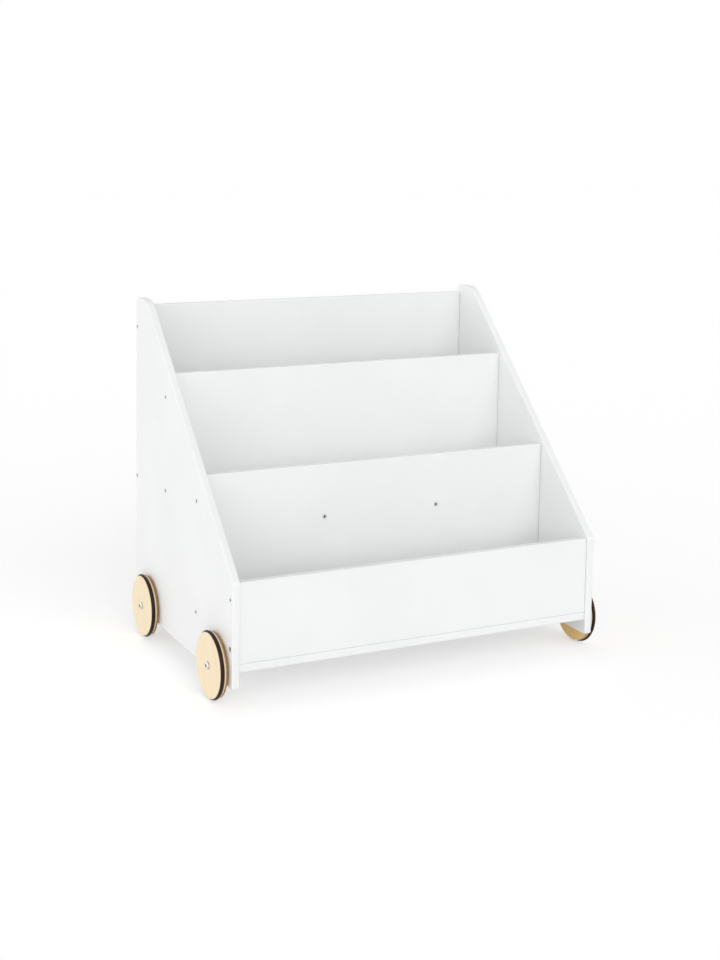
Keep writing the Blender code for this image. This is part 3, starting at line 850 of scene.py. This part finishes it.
def makeTyre(corner):
    # a flat seat and straight walls in the groove, then half an ellipse that rolls, with a fine seam
    node = "tyre_" + corner
    low, high = nodeBox(node)
    inner, outer = outwards(node)
    crownRadius = (high[2] - low[2]) / 2
    seat = crownRadius - wheel["ringProud"] - wheel["ringDepth"]
    half = (outer - inner) / 2
    shoulder = crownRadius - half
    swing = np.linspace(-math.pi / 2, math.pi / 2, tyre["crownSteps"])
    seam = tyre["seam"] * np.exp(-(swing / tyre["seamWidth"]) ** 2)
    rise = (crownRadius - tyre["seam"] - shoulder) * np.cos(swing) + seam
    crown = np.stack([shoulder + rise, (inner + outer) / 2 + half * np.sin(swing)], axis=-1)
    soft = tyre["seatRound"]
    seatTurn = np.linspace(0, math.pi / 2, tyre["seatSteps"])
    sine, cosine = soft * np.sin(seatTurn), soft * np.cos(seatTurn)
    upper = np.stack([seat + soft - sine, outer - soft + cosine], axis=-1)
    lower = np.stack([seat + soft - cosine, inner + soft - sine], axis=-1)
    profile = np.concatenate([crown, upper, lower])
    tread = np.clip((profile[:, :1] - crownRadius + tyre["treadBand"]) / tyre["treadBand"], 0, 1)
    shell, _ = spin(profile, wheel["columns"], axleEnds(corner)[0], tread)
    makePiece(node, shell, "dark_rubber", "tread")


rings = {
    "axle_sleeve_": {"slot": "zinc_steel", "bore": 0.0033, "radius": 0.0043, "soft": 0.00015,
                     "columns": 64, "arcSteps": 3},
    "spacer_washer_": {"slot": "natural_nylon", "bore": 0.0046, "radius": 0.0090, "soft": 0.0004,
                       "columns": 64, "arcSteps": 3},
}


def makeRing(part, corner):
    # a plain turned ring with softened edges, as long as its CAD box
    values = rings[part]
    bore, radius, soft = values["bore"], values["radius"], values["soft"]
    start, end = outwards(part + corner)
    corners = [(bore, start, soft), (radius, start, soft), (radius, end, soft), (bore, end, soft)]
    profile = roundedOutline(corners, 0.0, values["arcSteps"], soft)
    shell, _ = spin(profile, values["columns"], axleEnds(corner)[0])
    makePiece(part + corner, shell, values["slot"])


# steel fasteners: rows of radii, one for each angle, at stations along the way in. Station 0 is the
# top of the head.
fastener = {
    "floorShare": 0.97,         # how far the floor of a socket reaches towards its walls
    "floorRound": 0.0001,
    "wallTops": (0.00045, 0.00025),     # depths of the walls' last rows, where the dish begins
    "mouthBand": 0.0001,
    "ridgeSlope": 1.7,          # above 1, flat ground is left between the ridges of a thread
    "sharp": 40.0,              # edges over this angle, in degrees, are shaded as edges
}
socketRowCount = 4


def startFastener(values):
    # the angles, and the rows from the floor of a hexagon socket up its walls to a round mouth
    turn = np.linspace(0, 2 * math.pi, values["columns"], endpoint=False)
    wall = values["socket"] / 2 / np.cos(np.mod(turn, math.pi / 3) - math.pi / 6)
    rim = np.full_like(turn, values["socketRim"])
    radii = [wall * fastener["floorShare"], wall, wall, wall, rim, rim + fastener["mouthBand"]]
    depth = values["socketDepth"]
    stations = [depth, depth - fastener["floorRound"], *fastener["wallTops"], 0.0, 0.0]
    return turn, radii, stations


def threadRows(values, turn, start, end):
    # a helical ridge between two stations, which fades in and out over one turn
    pitch, root = values["pitch"], values["root"]
    station = np.linspace(start, end, int((end - start) / pitch * values["rowsPerTurn"]))[:, None]
    phase = np.mod(station / pitch - turn / (2 * math.pi), 1.0)
    ridge = np.clip(1 - fastener["ridgeSlope"] * np.abs(2 * phase - 1), 0, 1)
    fade = np.clip((station - start) / pitch, 0, 1) * np.clip((end - station) / pitch, 0, 1)
    return station, root + (values["shank"] - root) * ridge * fade


def makeFastener(node, spot, aim, radii, stations, floorTip, endTip):
    # closes the rows by a point at each end, marks the socket, and gives each piece a turn of its own
    turn = np.linspace(0, 2 * math.pi, radii.shape[1], endpoint=False) + rng.uniform(0, math.pi / 3)
    first = np.roll(np.abs(aim), 1)
    second = np.cross(aim, first)
    around = np.cos(turn)[:, None] * first + np.sin(turn)[:, None] * second
    # recess marks the socket's rows, which the zinc colours near black as painted shade
    recess = (np.arange(len(stations)) < socketRowCount).astype(float)[:, None]
    shell = newShell()
    rows = addPoints(shell, spot + radii[..., None] * around + stations[:, None, None] * aim, recess)
    addRows(shell, rows)
    addFan(shell, rows[0], spot + floorTip * aim, 1.0)
    addFan(shell, rows[-1], spot + endTip * aim)
    makePiece(node, shell, "zinc_steel", "recess", sharp=fastener["sharp"])


screw = {
    "columns": 30, "socket": 0.0030, "socketDepth": 0.0018, "socketRim": 0.0019, "socketCone": 0.0004,
    "head": 0.0038, "headRound": 0.0002, "headSteps": 4, "rimHeight": 0.0004, "cone": 0.0022,
    "guard": 0.0003, "shank": 0.0022, "root": 0.0015, "threadStart": 0.0135, "tip": 0.006,
    "bluntShare": 0.25, "length": 0.042, "pitch": 0.0028, "rowsPerTurn": 10,
}


def makeScrew(node):
    # a countersunk head, a plain shank, and a coarse thread that tapers to a point
    spot, aim = screws[node]
    turn, radii, stations = startFastener(screw)
    soft, guard = screw["headRound"], screw["guard"]
    coneEnd = screw["rimHeight"] + screw["cone"]
    steps = [(screw["head"] - soft + soft * math.sin(a), soft - soft * math.cos(a))
             for a in np.linspace(0, math.pi / 2, screw["headSteps"])]
    steps += [(screw["head"], screw["rimHeight"]), (screw["shank"], coneEnd),
              (screw["shank"], coneEnd + guard), (screw["shank"], screw["threadStart"] - guard)]
    radii += [np.full_like(turn, radius) for radius, _ in steps]
    stations += [station for _, station in steps]
    threadEnd = screw["length"] - screw["tip"] * screw["bluntShare"]
    station, body = threadRows(screw, turn, screw["threadStart"], threadEnd)
    body *= np.clip((screw["length"] - station) / screw["tip"], 0, 1)
    radii = np.concatenate([radii, body])
    stations = np.concatenate([stations, station[:, 0]])
    floorTip = screw["socketDepth"] + screw["socketCone"]
    makeFastener(node, spot, aim, radii, stations, floorTip, screw["length"])


bolt = {
    "columns": 48, "socket": 0.0040, "socketDepth": 0.0018, "socketRim": 0.0026, "socketCone": 0.0003,
    "crown": 0.0033, "head": 0.0060, "headHeight": 0.0026, "headRound": 0.0002, "headSteps": 10,
    "rim": 0.0008, "fillet": 0.0003, "neck": 0.0008, "guard": 0.0004, "shank": 0.0030, "root": 0.00255,
    "seat": 0.0156, "reach": 0.0115, "threadLength": 0.0100, "point": 0.0008, "pointRound": 0.0004,
    "pitch": 0.0010, "rowsPerTurn": 8,
}


def makeBolt(corner):
    # a domed head, a plain shank through the wheel, and a fine thread in the panel
    middle, aim = axleEnds(corner)
    panelLow, panelHigh = nodeBox(corner.split("_")[1] + "_side_panel")
    face = panelLow[0] if aim[0] > 0 else panelHigh[0]
    spot = np.array([face - aim[0] * (bolt["seat"] + bolt["headHeight"]), middle[1], middle[2]])
    turn, radii, stations = startFastener(bolt)
    head, shank, under, soft = bolt["head"], bolt["shank"], bolt["headHeight"], bolt["headRound"]
    end = under + bolt["seat"] + bolt["reach"]
    threadStart, threadEnd = end - bolt["threadLength"], end - bolt["point"]
    crown, domeHeight = bolt["crown"], under - bolt["rim"]
    steps = [(crown + (head - crown) * math.sin(a), domeHeight * (1 - math.cos(a)))
             for a in np.linspace(0, math.pi / 2, bolt["headSteps"])]
    steps += [(head, under - soft), (head - soft, under), (shank + bolt["fillet"], under),
              (shank, under + bolt["fillet"]), (shank, under + bolt["neck"]),
              (shank, threadStart - bolt["guard"])]
    radii += [np.full_like(turn, radius) for radius, _ in steps]
    stations += [station for _, station in steps]
    station, body = threadRows(bolt, turn, threadStart, threadEnd)
    point = np.full_like(body[:1], bolt["root"] - bolt["pointRound"])
    radii = np.concatenate([radii, body, point])
    stations = np.concatenate([stations, station[:, 0], [end]])
    floorTip = bolt["socketDepth"] + bolt["socketCone"]
    makeFastener("axle_bolt_" + corner, spot, aim, radii, stations, floorTip, end)


def makeWheels():
    for corner in wheel["grainTurns"]:
        makeDisc(corner)
        makeTyre(corner)
        makeBolt(corner)
        for part in rings:
            makeRing(part, corner)


makeWheels()
for name in screws:
    makeScrew(name)
print("wheels, bolts and", len(screws), "screws made")

for name, item in frame["nodes"].items():
    if name.startswith("insert_nut"):
        item.data.materials.clear()
        item.data.materials.append(looks["zinc_steel"])
print("insert nuts finished")


# floor, background and light
studio = {
    "sky": (0.40, 0.80),        # light from overhead and from the horizon
    "floorColour": 0.86,        # what the floor bounces
    "floorShown": 0.72,         # share of the floor's own shading that the camera sees
    "floorLevel": 0.775,        # light on the open floor, at which it shows as white
    "floorSpan": 14.0,          # from its middle to its sides
    "floorDrop": 0.0002,        # under the wheels
    "suns": (
        ((0.10, -0.85, 0.50), 0.83, 50.0),      # towards the lamp, strength, angle in degrees
        ((-0.55, -0.82, 0.15), 0.53, 50.0),
        ((-0.95, -0.25, 0.14), 0.62, 50.0),
        ((-0.85, 0.50, 0.15), 0.62, 50.0),
    ),
}


def seenRays(tree):
    # 1 for rays that show the background: from the camera, and in gloss and glass
    path = tree.nodes.new("ShaderNodeLightPath")
    both = maths(tree, "MAXIMUM", path.outputs["Is Camera Ray"], path.outputs["Is Glossy Ray"])
    return maths(tree, "MAXIMUM", both, path.outputs["Is Transmission Ray"])


def makeStudio(values):
    world = bpy.data.worlds.new("studioWorld")
    scene.world = world
    world.use_nodes = True
    tree = world.node_tree
    background = tree.nodes["Background"]
    background.inputs["Color"].default_value = (1.0, 1.0, 1.0, 1.0)
    seen = seenRays(tree)
    outward = tree.nodes.new("ShaderNodeTexCoord").outputs["Generated"]
    height = addNode(tree, "ShaderNodeSeparateXYZ", n0=outward).outputs["Z"]
    given = remap(tree, height, 0.0, 1.0, values["sky"][1], values["sky"][0], smooth=False)
    strength = remap(tree, seen, 0.0, 1.0, given, 1.0, smooth=False)
    tree.links.new(strength, background.inputs["Strength"])

    mesh = bpy.data.meshes.new("studioFloor")
    span, level = values["floorSpan"], -values["floorDrop"]
    corners = [(x * span, y * span, level) for x, y in ((-1, -1), (1, -1), (1, 1), (-1, 1))]
    mesh.from_pydata(corners, [], [(0, 1, 2, 3)])
    floor = bpy.data.objects.new("studioFloor", mesh)
    scene.collection.objects.link(floor)
    tree, shader, material = newMaterial("paleFloor")
    mesh.materials.append(material)
    seen = seenRays(tree)
    shade = values["floorColour"]
    paint = remap(tree, seen, 0.0, 1.0, shade, shade * values["floorShown"], smooth=False)
    colour = addNode(tree, "ShaderNodeCombineColor", Red=paint, Green=paint, Blue=paint)
    tree.links.new(colour.outputs[0], shader.inputs["Base Color"])
    shader.inputs["Roughness"].default_value = 1.0
    shader.inputs["Specular IOR Level"].default_value = 0.0
    shader.inputs["Emission Color"].default_value = (1.0, 1.0, 1.0, 1.0)
    glow = maths(tree, "MULTIPLY", seen, 1.0 - shade * values["floorShown"] * values["floorLevel"])
    tree.links.new(glow, shader.inputs["Emission Strength"])

    for index, (aim, power, angle) in enumerate(values["suns"]):
        data = bpy.data.lights.new(f"softLamp{index}", "SUN")
        data.energy = power
        data.angle = math.radians(angle)
        lamp = bpy.data.objects.new(f"softLamp{index}", data)
        lamp.rotation_mode = "QUATERNION"
        lamp.rotation_quaternion = Vector(aim).to_track_quat("Z", "Y")
        scene.collection.objects.link(lamp)


makeStudio(studio)
print("studio made")
